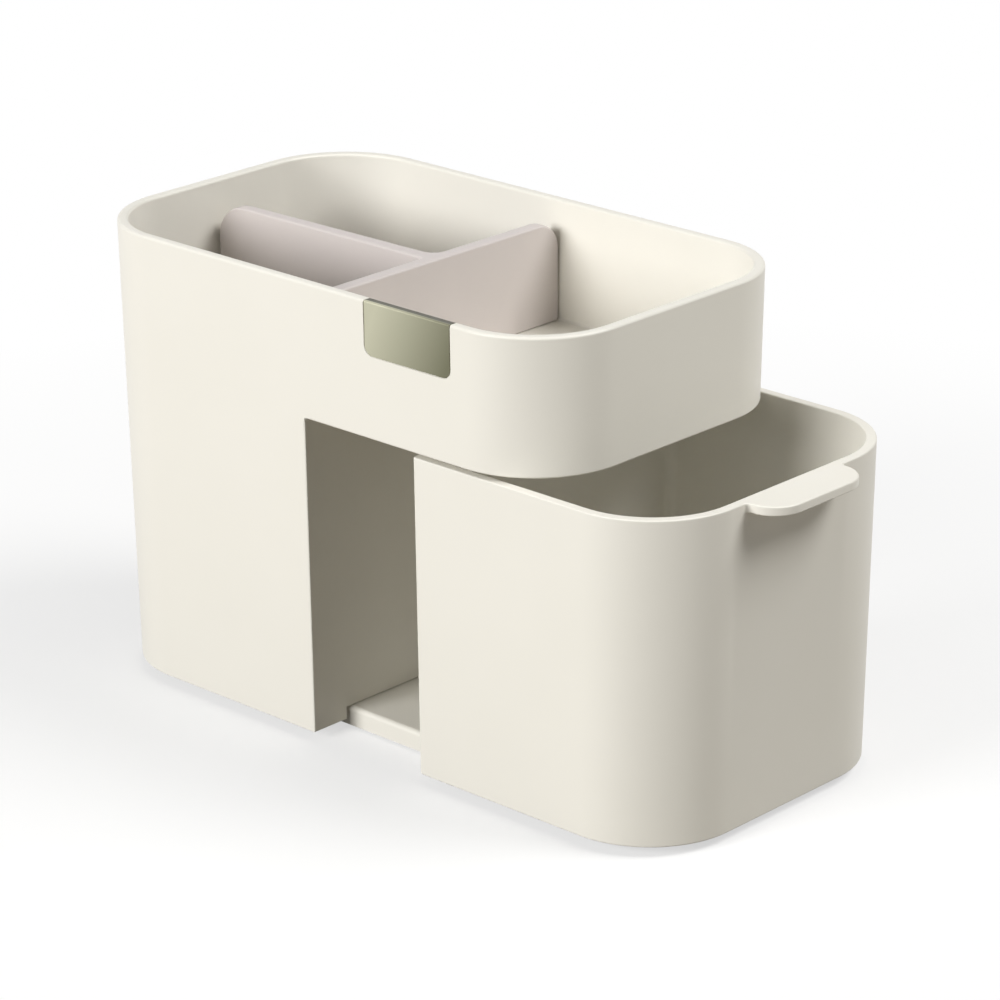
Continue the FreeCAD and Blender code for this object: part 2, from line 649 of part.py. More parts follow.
def add_tab_outline(sketch, root, wall, tip, half):
    """The tab's plan from inside the drawer's wall outwards, with fillets and round corners."""
    inner, outer = s.tab_root, s.tab_corner
    foot = half + inner
    r, big = inner.value, outer.value
    x0, x1, x2, x3, x4 = (number(x) for x in (root, wall, wall + inner, tip - outer, tip))
    y0, y1, y2 = foot.value, half.value, half.value - big

    def line(x_start, y_start, x_end, y_end, direction):
        segment = Part.LineSegment(Vector(x_start, y_start, 0), Vector(x_end, y_end, 0))
        index = sketch.addGeometry(segment, False)
        sketch.addConstraint(Sketcher.Constraint(direction, index))
        return index

    def arc(name, x, y, size, radius, start):
        circle = Part.Circle(Vector(x, y, 0), Vector(0, 0, 1), size)
        index = sketch.addGeometry(Part.ArcOfCircle(circle, start, start + math.pi / 2), False)
        tie(sketch, name, Sketcher.Constraint("Radius", index, size), radius)
        return index

    front_foot = line(x0, -y0, x1, -y0, "Horizontal")
    front_side = line(x2, -y1, x3, -y1, "Horizontal")
    end = line(x4, -y2, x4, y2, "Vertical")
    back_side = line(x3, y1, x2, y1, "Horizontal")
    back_foot = line(x1, y0, x0, y0, "Horizontal")
    base = line(x0, y0, x0, -y0, "Vertical")
    front_root = arc("front_root", x2, -y0, r, inner, math.pi / 2)
    front_corner = arc("front_corner", x3, -y2, big, outer, -math.pi / 2)
    back_corner = arc("back_corner", x3, y2, big, outer, 0)
    back_root = arc("back_root", x2, y0, r, inner, math.pi)
    for name, index, side in (("front", front_root, -1), ("back", back_root, 1)):
        centre_x = Sketcher.Constraint("DistanceX", index, 3, x2)
        centre_y = Sketcher.Constraint("DistanceY", index, 3, side * y0)
        tie(sketch, f"{name}_centre_across", centre_x, wall + inner)
        tie(sketch, f"{name}_centre_up", centre_y, foot * side)
    tie(sketch, "front_foot_up", Sketcher.Constraint("DistanceY", front_foot, 1, -y0), -foot)
    tie(sketch, "back_foot_up", Sketcher.Constraint("DistanceY", back_foot, 2, y0), foot)
    tie(sketch, "base_across", Sketcher.Constraint("DistanceX", base, 1, x0), root)
    tie(sketch, "end_across", Sketcher.Constraint("DistanceX", end, 1, x4), tip)
    for a, a_end, b, b_end in (
        (base, 2, front_foot, 1), (front_foot, 2, front_root, 2),
        (back_root, 1, back_foot, 1), (back_foot, 2, base, 1),
    ):
        sketch.addConstraint(Sketcher.Constraint("Coincident", a, a_end, b, b_end))
    for a, a_end, b, b_end in (
        (front_root, 1, front_side, 1), (front_side, 2, front_corner, 1), (front_corner, 2, end, 1),
        (end, 2, back_corner, 1), (back_corner, 2, back_side, 1), (back_side, 2, back_root, 2),
    ):
        sketch.addConstraint(Sketcher.Constraint("Tangent", a, a_end, b, b_end))


def make_tab(body):
    """Flat finger tab, level with the rim, rooted in the drawer's end wall."""
    level = DRAWER_RIM - s.tab_thickness
    end = drawer_right(DRAWER_RIM)
    tab = sketch_on(body, "tab", "XY_Plane", level)
    half = half_width(DRAWER_RIM) - s.corner_right - s.tab_margin
    add_tab_outline(tab, end - s.drawer_wall, drawer_right(level), TAB_TIP, half)
    extrude("Pad", body, tab, s.tab_thickness)
    round_edges(body, "outer_rim", s.tab_round, lambda e: at_level(e, DRAWER_RIM))
    round_edges(
        body, "tab_underside", s.tab_round,
        chosen=lambda e: at_level(e, level) and middle(e).x > (end + s.tab_root).value - NEAR,
    )


def make_drawer_underside(body):
    """Hollow under the drawer's floor with its runners, and the opening that the base plate passes."""
    hollow = sketch_on(body, "hollow", "XY_Plane", FLOOR_UNDER)
    drawer_outline(s.drawer_wall, s.drawer_inner_corner)(hollow, WALLS_LOW)
    extrude("Pocket", body, hollow, s.floor_height + s.cut_margin)

    left = DRAWER_LEFT + s.drawer_wall / 2
    guide = PLATE_HALF_WIDTH + s.slide_play
    guide_right = drawer_right(WALLS_LOW) - s.corner_right * 0.35
    glide_right = drawer_right(WALLS_LOW) - s.drawer_wall / 2
    for side, sign in (("front", -1), ("back", 1)):
        for name, inner, low, right in (
            ("guide", guide, WALLS_LOW + s.guide_free, guide_right),
            ("glide", s.runner_spread, RUNNER_LOW, glide_right),
        ):
            edges = sorted((inner * sign, (inner + s.runner_thickness) * sign), key=number)
            rib = sketch_on(body, f"{name}_{side}", "XY_Plane", low)
            add_rectangle(rib, left, right, *edges)
            extrude("Pad", body, rib, FLOOR_UNDER - low + s.floor_thickness / 2)

    opening = sketch_on(body, "opening", "YZ_Plane", DRAWER_LEFT - s.cut_margin)
    add_rectangle(opening, -guide, guide, WALLS_LOW - s.cut_margin, RUNNER_LOW)
    extrude("Pocket", body, opening, s.drawer_wall + s.cut_margin * 2, backwards=True)

    bosses = sketch_on(body, "bosses", "XY_Plane", RUNNER_LOW)
    pilots = sketch_on(body, "pilots", "XY_Plane", RUNNER_LOW)
    for name, x, y in keeper_screw_places():
        add_circle(bosses, x, y, s.keeper_boss, name)
        add_circle(pilots, x, y, s.screw_diameter + s.screw_play * 2, name)
    extrude("Pad", body, bosses, FLOOR_UNDER - RUNNER_LOW + s.floor_thickness / 2)
    reach = KEEPER_LOW + s.keeper_screw_reach - RUNNER_LOW
    extrude("Pocket", body, pilots, reach + s.screw_play * 4, backwards=True)


# Keeper: neck through the base plate's slot, flange under the plate's skin

def keeper_screw_places():
    x = NECK_LEFT + s.keeper_neck / 2
    return [("front", x, -s.keeper_screw_spread), ("back", x, s.keeper_screw_spread)]


def make_keeper():
    body = new_body("drawer_keeper")
    half = s.keeper_neck_width / 2
    right = NECK_LEFT + s.keeper_neck
    flange = sketch_on(body, "flange", "XY_Plane", KEEPER_LOW)
    flange_half = half + s.keeper_lip_side
    corners = (s.keeper_lip / 2,) * 4
    add_rectangle(
        flange, NECK_LEFT - s.keeper_lip, right + s.keeper_lip, -flange_half, flange_half, corners,
    )
    extrude("Pad", body, flange, s.keeper_flange)
    neck = sketch_on(body, "neck", "XY_Plane", KEEPER_TOP)
    add_rectangle(neck, NECK_LEFT, right, -half, half, (s.plate_rib / 2,) * 4)
    extrude("Pad", body, neck, RUNNER_LOW - KEEPER_TOP)
    holes = sketch_on(body, "holes", "XY_Plane", RUNNER_LOW)
    for name, x, y in keeper_screw_places():
        add_circle(holes, x, y, s.screw_diameter + s.screw_play * 2, name)
    extrude("Pocket", body, holes, RUNNER_LOW)
    seats = sketch_on(body, "seats", "XY_Plane", KEEPER_TOP)
    for name, x, y in keeper_screw_places():
        add_circle(seats, x, y, s.screw_head + s.screw_play * 4, name)
    extrude("Pocket", body, seats, s.keeper_flange + s.cut_margin)
    return body


def make_keeper_screws():
    """Flat-head screws, sunk in the keeper's flange."""
    screws = []
    for place, x, y in keeper_screw_places():
        name = f"keeper_screw_{place}"
        head = cylinder(f"{name}_head", s.screw_head, s.keeper_flange, x, y, KEEPER_LOW)
        shank_reach = s.keeper_screw_reach - s.keeper_flange
        shank = cylinder(f"{name}_shank", s.screw_diameter, shank_reach, x, y, KEEPER_TOP)
        depth = s.keeper_flange / 2
        recess = cross_recess(f"{name}_recess", x, y, KEEPER_LOW - depth, depth * 2)
        screws.append(cut(name, joined(f"{name}_solid", [head, shank]), recess))
    return group("keeper_screws", screws)


# Divider: a cross fin that stands on the partition, and a long fin down the middle of the compartment

def fin_tip(level):
    """The long fin's free end, which keeps clear of the drafted wall."""
    return -(half_length(level) - s.wall - s.divider_tip_play)


def make_divider():
    body = new_body("divider")
    root, end = s.divider_fin_root / 2, s.divider_fin_tip / 2
    tip_high, tip_low = fin_tip(DIVIDER_TOP), fin_tip(BLADE_LOW)
    tapered = [(tip_high, -end), (FIN_LEFT, -root), (FIN_LEFT, root), (tip_high, end)]

    cross = sketch_on(body, "cross_fin", "YZ_Plane", FIN_LEFT)
    across = half_width((DIVIDER_TOP + TRAY_FLOOR) / 2) - s.wall - s.divider_play
    corners = (s.divider_clear, s.divider_clear, s.divider_shoulder, s.divider_shoulder)
    add_rectangle(cross, -across, across, TRAY_FLOOR, DIVIDER_TOP, corners)
    extrude("Pad", body, cross, s.divider_thickness)
    long_fin = sketch_on(body, "long_fin", "XY_Plane", TRAY_FLOOR)
    add_polygon(long_fin, tapered)
    extrude("Pad", body, long_fin, DIVIDER_TOP - TRAY_FLOOR)
    for side, sign, radius in (("front", -1, s.divider_fillet_front), ("back", 1, s.divider_fillet_back)):
        round_edges(
            body, f"inner_{side}", radius, grows=True,
            chosen=lambda e: is_along(e, Vector(0, 0, 1)) and abs(middle(e).x - FIN_LEFT.value) < NEAR
            and abs(middle(e).y - sign * root.value) < NEAR,
        )
    blade = sketch_on(body, "blade", "XY_Plane", BLADE_LOW)
    add_polygon(blade, tapered)
    extrude("Pad", body, blade, TRAY_FLOOR - BLADE_LOW)

    # Seen from the front: the top falls to the left, the free end follows the wall, and the blade
    # clears the partition
    blade_high = PARTITION_LEFT - lean(TRAY_FLOOR) - s.divider_play
    blade_low = PARTITION_LEFT - lean(BLADE_LOW) - s.divider_play
    above, below = DIVIDER_TOP + s.cut_margin, BLADE_LOW - s.cut_margin
    outside = tip_high - s.cut_margin
    trims = sketch_on(body, "trims", "XZ_Plane")
    add_polygon(trims, [
        (tip_high, DIVIDER_TOP - s.divider_fall), (FIN_LEFT, DIVIDER_TOP), (FIN_LEFT, above),
        (outside, above), (outside, below), (tip_low, below), (tip_low, BLADE_LOW),
    ], "left")
    add_polygon(trims, [
        (blade_low, below), (FIN_RIGHT, below), (FIN_RIGHT, TRAY_FLOOR), (blade_high, TRAY_FLOOR),
        (blade_low, BLADE_LOW),
    ], "right")
    extrude("Pocket", body, trims, s.divider_fin_root * 2, midplane=True)
    halfway = (tip_high.value + FIN_LEFT.value) / 2
    round_edges(
        body, "end_corner", s.divider_end,
        chosen=lambda e: is_along(e, Vector(0, 1, 0)) and middle(e).z > TRAY_FLOOR.value + NEAR
        and middle(e).x < halfway,
    )
    round_edges(
        body, "blade_corners", s.divider_clear,
        chosen=lambda e: is_along(e, Vector(0, 1, 0)) and at_level(e, BLADE_LOW),
    )
    return body


PARTS = [
    make_body_shell(),
    make_base_plate(),
    make_base_screws(),
    make_drawer(),
    make_keeper(),
    make_keeper_screws(),
    make_divider(),
]
PARTS += make_badge()
PARTS += [make_foot(*place) for place in foot_places()]

# The origin moves from the body's middle to that of the whole footprint
for part in PARTS:
    part.setExpression("Placement.Base.x", (-FOOTPRINT_MIDDLE).text)

doc.recompute()
for thing in doc.Objects:
    bad = [state for state in thing.State if state in ("Invalid", "Error")]
    if bad:
        raise RuntimeError(f"{thing.Name} is {bad}")
    if thing.TypeId == "Sketcher::SketchObject" and not thing.FullyConstrained:
        raise RuntimeError(f"{thing.Name} is not fully constrained")

os.makedirs("parts", exist_ok=True)
for part in PARTS:
    if part.Shape.isNull() or not part.Shape.isValid():
        raise RuntimeError(f"{part.Label} has no valid shape")
    part.Shape.exportStep(f"parts/{part.Label}.step")
    print(f"{part.Label}: {len(part.Shape.Solids)} solids, {part.Shape.Volume / 1000:.2f} cm3")
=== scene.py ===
"""Makeup organizer with drawer, dressed for its picture."""
import json
import math
import bmesh
import bpy
import numpy as np
from mathutils import Matrix, Vector

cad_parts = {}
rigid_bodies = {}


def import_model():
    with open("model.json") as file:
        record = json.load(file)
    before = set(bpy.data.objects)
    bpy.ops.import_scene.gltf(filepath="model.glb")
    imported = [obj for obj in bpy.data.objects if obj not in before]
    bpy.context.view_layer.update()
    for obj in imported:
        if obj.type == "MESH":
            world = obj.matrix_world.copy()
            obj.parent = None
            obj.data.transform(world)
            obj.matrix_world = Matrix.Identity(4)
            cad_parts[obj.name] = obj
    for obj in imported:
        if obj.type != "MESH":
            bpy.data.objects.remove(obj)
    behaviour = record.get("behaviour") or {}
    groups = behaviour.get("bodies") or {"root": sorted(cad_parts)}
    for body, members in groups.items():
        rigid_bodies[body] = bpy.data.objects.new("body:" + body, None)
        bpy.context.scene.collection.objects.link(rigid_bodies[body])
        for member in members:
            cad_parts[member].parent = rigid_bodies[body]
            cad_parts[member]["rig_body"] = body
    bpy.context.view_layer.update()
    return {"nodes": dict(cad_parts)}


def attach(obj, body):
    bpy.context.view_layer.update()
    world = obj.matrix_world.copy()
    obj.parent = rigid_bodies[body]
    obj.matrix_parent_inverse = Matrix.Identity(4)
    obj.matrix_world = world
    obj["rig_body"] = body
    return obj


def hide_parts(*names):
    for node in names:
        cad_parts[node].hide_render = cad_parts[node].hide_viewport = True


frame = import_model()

MM = 0.001
FOOTPRINT_MIDDLE = 28.513


def colour(red, green, blue):
    """A colour as seen on screen, 0 to 255, made linear for a shader."""
    shares = np.array([red, green, blue]) / 255
    linear = np.where(shares <= 0.04045, shares / 12.92, ((shares + 0.055) / 1.055) ** 2.4)
    return (*linear.tolist(), 1.0)


def at(x, y, z):
    """A place in millimetres from the body's middle, in the frame's metres."""
    return Vector(((x - FOOTPRINT_MIDDLE) * MM, y * MM, z * MM))


# Camera

def make_camera():
    """The view that the picture was taken from: its turn, lift and roll, its place and its lens."""
    turn, lift, roll = math.radians(43.0812), math.radians(20.7394), math.radians(-0.3088)
    back = Vector((math.sin(turn) * math.cos(lift), -math.cos(turn) * math.cos(lift), math.sin(lift)))
    right = Vector((math.cos(turn), math.sin(turn), 0.0))
    up = back.cross(right)
    across = right * math.cos(roll) + up * math.sin(roll)
    above = up * math.cos(roll) - right * math.sin(roll)
    lens = bpy.data.cameras.new("picture_camera")
    lens.sensor_width = 36
    lens.lens = 145.12
    lens.clip_start = 0.05
    camera = bpy.data.objects.new("picture_camera", lens)
    pose = Matrix((across, above, back)).transposed().to_4x4()
    pose.translation = at(838.11, -866.73, 521.29)
    camera.matrix_world = pose
    bpy.context.scene.collection.objects.link(camera)
    bpy.context.scene.camera = camera


make_camera()


# Materials

def new_material(name):
    """A material with the parts that its maker needs: its nodes, its links and its shader."""
    material = bpy.data.materials.new(name)
    material.use_nodes = True
    nodes = material.node_tree.nodes
    return material, nodes, material.node_tree.links, nodes["Principled BSDF"]


def noise(nodes, links, place, scale, detail=2.0, rough=0.5):
    """A smooth random cloud between 0 and 1, read at a place."""
    texture = nodes.new("ShaderNodeTexNoise")
    texture.inputs["Scale"].default_value = scale
    texture.inputs["Detail"].default_value = detail
    texture.inputs["Roughness"].default_value = rough
    links.new(place, texture.inputs["Vector"])
    return texture.outputs["Fac"]


def spread(nodes, links, value, low, high, from_low=0.3, from_high=0.7):
    """The value's own range stretched evenly over low to high, and held there beyond it."""
    ramp = nodes.new("ShaderNodeMapRange")
    ramp.inputs["From Min"].default_value = from_low
    ramp.inputs["From Max"].default_value = from_high
    ramp.inputs["To Min"].default_value = low
    ramp.inputs["To Max"].default_value = high
    links.new(value, ramp.inputs["Value"])
    return ramp.outputs["Result"]


def mix(nodes, links, share, first, second):
    """The first colour where the share is 0, the second where it is 1."""
    blend = nodes.new("ShaderNodeMix")
    blend.data_type = "RGBA"
    blend.inputs["A"].default_value = first
    blend.inputs["B"].default_value = second
    links.new(share, blend.inputs["Factor"])
    return blend.outputs["Result"]


def grain(nodes, links, shader, height, strength, distance):
    """A bumpy skin of the given height in metres."""
    bump = nodes.new("ShaderNodeBump")
    bump.inputs["Strength"].default_value = strength
    bump.inputs["Distance"].default_value = distance
    links.new(height, bump.inputs["Height"])
    links.new(bump.outputs["Normal"], shader.inputs["Normal"])


def moulded_plastic(name, pale, deep, roughness, metal=0.0):
    """Moulded plastic: a faint cloud of colour, an uneven satin and the mould's fine sparked grain."""
    material, nodes, links, shader = new_material(name)
    place = nodes.new("ShaderNodeTexCoord").outputs["Object"]
    cloud = noise(nodes, links, place, 22.0, 3.0)
    links.new(mix(nodes, links, cloud, pale, deep), shader.inputs["Base Color"])
    satin = noise(nodes, links, place, 60.0, 2.0)
    links.new(spread(nodes, links, satin, roughness - 0.04, roughness + 0.04), shader.inputs["Roughness"])
    fine = noise(nodes, links, place, 3800.0, 2.0, 0.6)
    grain(nodes, links, shader, fine, 0.25, 0.00002)
    shader.inputs["Metallic"].default_value = metal
    shader.inputs["Specular IOR Level"].default_value = 0.45
    return material


def ramp_along(nodes, links, place, start, end):
    """0 at the start and 1 at the end of a way through the object, both given in millimetres."""
    way = end - start
    measure = nodes.new("ShaderNodeVectorMath")
    measure.operation = "DOT_PRODUCT"
    measure.inputs[1].default_value = way / way.length_squared
    links.new(place, measure.inputs[0])
    ahead = start.dot(way) / way.length_squared
    return spread(nodes, links, measure.outputs["Value"], 0.0, 1.0, ahead, ahead + 1)


def satin_sheet(name, pale, deep, edge):
    """Satin sheet metal, finely rubbed, with painted light: a painted shade deepens its tone to the lower
    right, and a painted dark reflection covers the fold.
    """
    material, nodes, links, shader = new_material(name)
    place = nodes.new("ShaderNodeTexCoord").outputs["Object"]
    # Painted shade and reflection: the colour falls from pale at the front's upper left to deep at its lower
    # right.
    painted_shade_sweep = ramp_along(nodes, links, place, at(33, -60, 150), at(62, -60, 138))
    tone = mix(nodes, links, painted_shade_sweep, pale, deep)
    # Painted dark reflection: from just behind the front face, over the fold and the flat on the rim, the
    # edge colour takes the place of the tone.
    over = ramp_along(nodes, links, place, at(46, -59.25, 152), at(46, -59.05, 152))
    fold_painted_dark_reflection = mix(nodes, links, over, pale, edge)
    links.new(tone, fold_painted_dark_reflection.node.inputs["A"])
    links.new(fold_painted_dark_reflection, shader.inputs["Base Color"])
    stretch = nodes.new("ShaderNodeMapping")
    stretch.inputs["Scale"].default_value = (1.0, 1.0, 14.0)
    links.new(place, stretch.inputs["Vector"])
    rubbed = noise(nodes, links, stretch.outputs["Vector"], 420.0, 3.0, 0.6)
    links.new(spread(nodes, links, rubbed, 0.3, 0.38), shader.inputs["Roughness"])
    grain(nodes, links, shader, rubbed, 0.2, 0.000012)
    shader.inputs["Metallic"].default_value = 1.0
    return material


CREAM = moulded_plastic("cream_moulding", colour(236, 233, 224), colour(232, 229, 219), 0.46)
BLUSH = moulded_plastic("blush_moulding", colour(212, 204, 201), colour(206, 198, 195), 0.48)
# Badge colours: the pale tone, the painted shade at the lower right, and the painted dark reflection over the
# fold.
PEWTER = satin_sheet("champagne_sheet", colour(192, 190, 167), colour(117, 116, 95), colour(84, 82, 66))
FILM = moulded_plastic("adhesive_film", colour(60, 58, 52), colour(48, 46, 42), 0.6)
ZINC = moulded_plastic("zinc_plating", colour(186, 188, 190), colour(150, 152, 156), 0.35, metal=1.0)
RUBBER = moulded_plastic("grey_rubber", colour(86, 86, 84), colour(70, 70, 68), 0.8)
ACETAL = moulded_plastic("white_acetal", colour(226, 226, 222), colour(216, 216, 212), 0.4)

FINISHES = {
    "body_shell": CREAM, "base_plate": CREAM, "drawer": CREAM, "divider": BLUSH,
    "badge_plate": PEWTER, "badge_adhesive": FILM, "base_screws": ZINC, "keeper_screws": ZINC,
    "drawer_keeper": ACETAL, "foot_front_left": RUBBER, "foot_front_right": RUBBER,
    "foot_back_left": RUBBER, "foot_back_right": RUBBER,
}
for node, finish in FINISHES.items():
    mesh = frame["nodes"][node].data
    mesh.materials.clear()
    mesh.materials.append(finish)


# Sizes in millimetres: levels above the table, places from the body's middle

# Body
RIM = 152.6
WALLS_LOW = 3.2
SLOPE = 0.0127
BODY_HALF_LENGTH, HALF_WIDTH = 100.75, 60.0
CORNER_LEFT, CORNER_RIGHT = 32.5, 31.2
WALL = 3.55
RIM_ROUND = 0.9
TRAY_UNDER, TRAY_FLOOR = 108.7, 112.3
FLOOR_UNDER, FLOOR_TOP = 13.7, 16.7
FLOOR_ROUND, TRAY_ROUND = 3.0, 1.0
BAY_LEFT, BAY_ROUND = 1.45, 1.2
PARTITION_LEFT, PARTITION_FOOT, COMPARTMENT_CORNER = -2.1, WALL * 1.5, 4.5
NOTCH_HALF, NOTCH_TOP = 43.8, 7.5
SCREW_HOLE, BOSS_SINK, RIB_SINK = 3.1, 0.8, 1.5
FLOOR_BOSS, FLOOR_BOSS_LOW, FLOOR_BOSSES_X, FLOOR_BOSSES_Y = 8.0, 7.2, (-55.0, -14.0), (-32.0, 32.0)

# Badge and its seat in the front
BADGE_MIDDLE, BADGE_HALF, BADGE_DROP, BADGE_CORNER, BADGE_FOLD = 46.0, 17.65, 17.2, 3.2, 0.6
BADGE_OUTSIDE, BADGE_INSIDE = 0.05, 0.55
SEAT_GAP, SEAT_DEPTH, SEAT_FALL, HAIR = 0.2, 0.75, 0.15, 0.01

# Drawer, where it stands part way out, with its ribs, the keeper's bosses and the finger tab
DRAWER_LEFT, DRAWER_RIGHT, DRAWER_RIM, DRAWER_WALL = 47.1, 146.45, 107.4, 3.3
DRAWER_EDGE, DRAWER_INNER_CORNER = 1.5, 3.5
DRAWER_NOTCH_HALF = 42.6
DRAWER_RIM_ROUND = 0.5
RIB, GUIDE_LOW, GUIDE_END, GLIDE_INNER, GLIDE_END = 2.0, 4.0, 133.6, 28.0, 142.9
KEEPER_BOSS, KEEPER_BOSS_X, KEEPER_BOSS_Y = 7.5, 57.1, 6.0
TAB_HALF, TAB_TIP, TAB_LOW = 21.83, 157.776, 104.4
TAB_ROOT, TAB_CORNER, TAB_UNDER_ROUND = 1.5, 10.2, 0.5

# Divider
FIN_LEFT, FIN_RIGHT, FIN_TOP, FIN_END = -2.55, 2.15, 146.1, 55.65
FIN_ROOT_HALF, FIN_TIP_HALF, FIN_FALL = 2.8, 2.2, 0.6
FIN_SHOULDER, FIN_CORNER, BLADE_CORNER = 9.2, 11.7, 5.0
FILLET_FRONT, FILLET_BEHIND = 1.2, 4.5
BLADE_LOW, BLADE_PLAY, TIP_PLAY = 17.0, 0.5, 0.9


# How finely round things are divided, and how meshes are joined

CORNER_STEPS, POCKET_STEPS, LEFT_STEPS = 20, 8, 6
BOSS_SIDES = 24
WELD_STEP = 0.0005
NEAR = 0.1
SHARP = math.radians(35)


# Surfaces

def lean(level):
    """How far the outer walls have leant in at a level: slope times the depth below the rim."""
    return SLOPE * (RIM - np.asarray(level, float))


def arc(start, end, steps):
    """Evenly spaced angles from start to end, in degrees, given in radians."""
    return np.radians(np.linspace(start, end, steps + 1))


def columns(left, right, half, radii, steps, front=(), side=(), back=(), left_leans=1.0):
    """The columns of a rounded rectangle seen from above, anticlockwise from the front's left end.

    A corner's column is its centre plus the radius times the outward normal (cos a, sin a), and a stop on
    a straight side is a point of that side. A row of the result holds the column's point at the rim, the
    way it moves as the walls lean in, and its outward normal.
    """
    def straight(x, y, way, normal):
        x, y = np.broadcast_arrays(np.asarray(x, float), np.asarray(y, float))
        rest = np.broadcast_to([*way, *normal], (x.size, 4))
        return np.column_stack((x.ravel(), y.ravel(), rest))

    def corner(x, y, radius, start, count, way):
        angle = arc(start, start + 90, count)
        normal = np.column_stack((np.cos(angle), np.sin(angle)))
        points = np.array([x, y]) + radius * normal
        return np.column_stack((points, np.broadcast_to(way, normal.shape), normal))

    (big, small), (left_steps, right_steps) = radii, steps
    return np.vstack((
        straight(front, -half, (0, 1), (0, -1)),
        corner(right - small, small - half, small, -90, right_steps, (-1, 1)),
        straight(right, side, (-1, 0), (1, 0)),
        corner(right - small, half - small, small, 0, right_steps, (-1, -1)),
        straight(back, half, (0, -1), (0, 1)),
        corner(left + big, half - big, big, 90, left_steps, (left_leans, -1)),
        corner(left + big, big - half, big, 180, left_steps, (left_leans, 1)),
    ))


def rows(ring, inset, level):
    """Points of a ring's columns on each row: rim point + way * lean(level) - inset * normal."""
    inset, level = (np.asarray(value, float) for value in (inset, level))
    inset, level = np.broadcast_arrays(inset, level)
    if inset.ndim == 1:
        inset, level = inset[:, None], level[:, None]
    inset, level = (np.broadcast_to(value, (inset.shape[0], len(ring))) for value in (inset, level))
    flat = ring[:, 0:2] + ring[:, 2:4] * lean(level)[..., None] - ring[:, 4:6] * inset[..., None]
    return np.concatenate((flat, level[..., None]), axis=-1)


def quarter(radius, steps):
    """A quarter round's run and rise: radius * (1 - cos a) and radius * sin a, a from 0 to 90 degrees."""
    angle = arc(0, 90, steps)
    return radius * (1 - np.cos(angle)), radius * np.sin(angle)


class Surface:
    """Grids and flat faces that are welded into one mesh where their points meet."""

    def __init__(self):
        self.points, self.faces, self.count = [], [], 0

    def add(self, points, faces):
        self.points.append(points)
        self.faces += [[self.count + corner for corner in face] for face in faces]
        self.count += len(points)

    def grid(self, points, closed=False, skip=()):
        """Quads between neighbouring rows and columns. skip holds (row, column) of quads left out."""
        high, wide = points.shape[:2]
        number = np.arange(high * wide).reshape(high, wide)
        if closed:
            number = np.concatenate((number, number[:, :1]), axis=1)
        quads = np.stack((number[:-1, :-1], number[:-1, 1:], number[1:, 1:], number[1:, :-1]), axis=-1)
        keep = np.ones(quads.shape[:2], bool)
        for row, column in skip:
            keep[row, column] = False
        self.add(points.reshape(-1, 3), quads[keep].tolist())

    def face(self, *runs):
        """One flat face round the given runs of points."""
        points = np.vstack([np.atleast_2d(run) for run in runs])
        self.add(points, [list(range(len(points)))])

    def prism(self, outline, low, high):
        """A closed upright solid: the outline at two levels, its side strip and its two ends."""
        outline = np.asarray(outline, float)
        ends = np.stack([np.column_stack((outline, np.full(len(outline), level))) for level in (low, high)])
        self.grid(ends, closed=True)
        self.face(ends[0])
        self.face(ends[1])

    def piece(self, name, finish, rule, width):
        """The welded mesh as an object. rule(ends) gives each sharp edge's share of the rounding's width."""
        points = np.vstack(self.points)
        _, first, same = np.unique(
            np.round(points / WELD_STEP), axis=0, return_index=True, return_inverse=True)
        same = same.ravel()
        faces = []
        for face in self.faces:
            corners = [int(same[corner]) for corner in face]
            corners = [c for i, c in enumerate(corners) if c != corners[i - 1]]
            if len(corners) > 2:
                faces.append(corners)
        places = (points[first] - (FOOTPRINT_MIDDLE, 0, 0)) * MM
        mesh = bpy.data.meshes.new(name)
        mesh.from_pydata(places.tolist(), [], faces)
        shell = bmesh.new()
        shell.from_mesh(mesh)
        bmesh.ops.recalc_face_normals(shell, faces=shell.faces)
        weight = shell.edges.layers.float.new("bevel_weight_edge")
        for edge in shell.edges:
            if len(edge.link_faces) == 2 and edge.calc_face_angle_signed() > SHARP:
                ends = [at_millimetres(corner.co) for corner in edge.verts]
                edge[weight] = rule(*ends)
        for face in shell.faces:
            face.smooth = True
        shell.to_mesh(mesh)
        shell.free()
        mesh.materials.append(finish)
        piece = bpy.data.objects.new(name, mesh)
        bpy.context.scene.collection.objects.link(piece)
        rounding = piece.modifiers.new("edge_rounding", "BEVEL")
        rounding.limit_method = "WEIGHT"
        rounding.width = width * MM
        rounding.segments = 3
        rounding.use_clamp_overlap = False
        flats = piece.modifiers.new("flat_faces", "WEIGHTED_NORMAL")
        flats.keep_sharp = True
        return piece


def at_millimetres(place):
    """A mesh point in millimetres from the body's middle."""
    return np.array(place) / MM + (FOOTPRINT_MIDDLE, 0, 0)


def box_outline(x_low, x_high, y_low, y_high):
    """The four corners of a rectangle seen from above."""
    return [(x_low, y_low), (x_high, y_low), (x_high, y_high), (x_low, y_high)]


def add_boss(surface, x, y, size, hole, low, high):
    """An upright tube: two circles round (x, y) carried from low to high, the hole closed at its top."""
    angle = np.linspace(0, 2 * np.pi, BOSS_SIDES, endpoint=False)
    circle = np.column_stack((np.cos(angle), np.sin(angle), np.zeros(BOSS_SIDES)))
    centre = np.array([x, y, 0.0])
    levels = [(size, high), (size, low), (hole, low), (hole, high - 1)]
    rings = np.stack([centre + circle * radius / 2 + (0, 0, level) for radius, level in levels])
    surface.grid(rings, closed=True)
    surface.face(rings[0])
    surface.face(rings[-1])


# Body: one moulding with a deep compartment, a tray and the bay under it

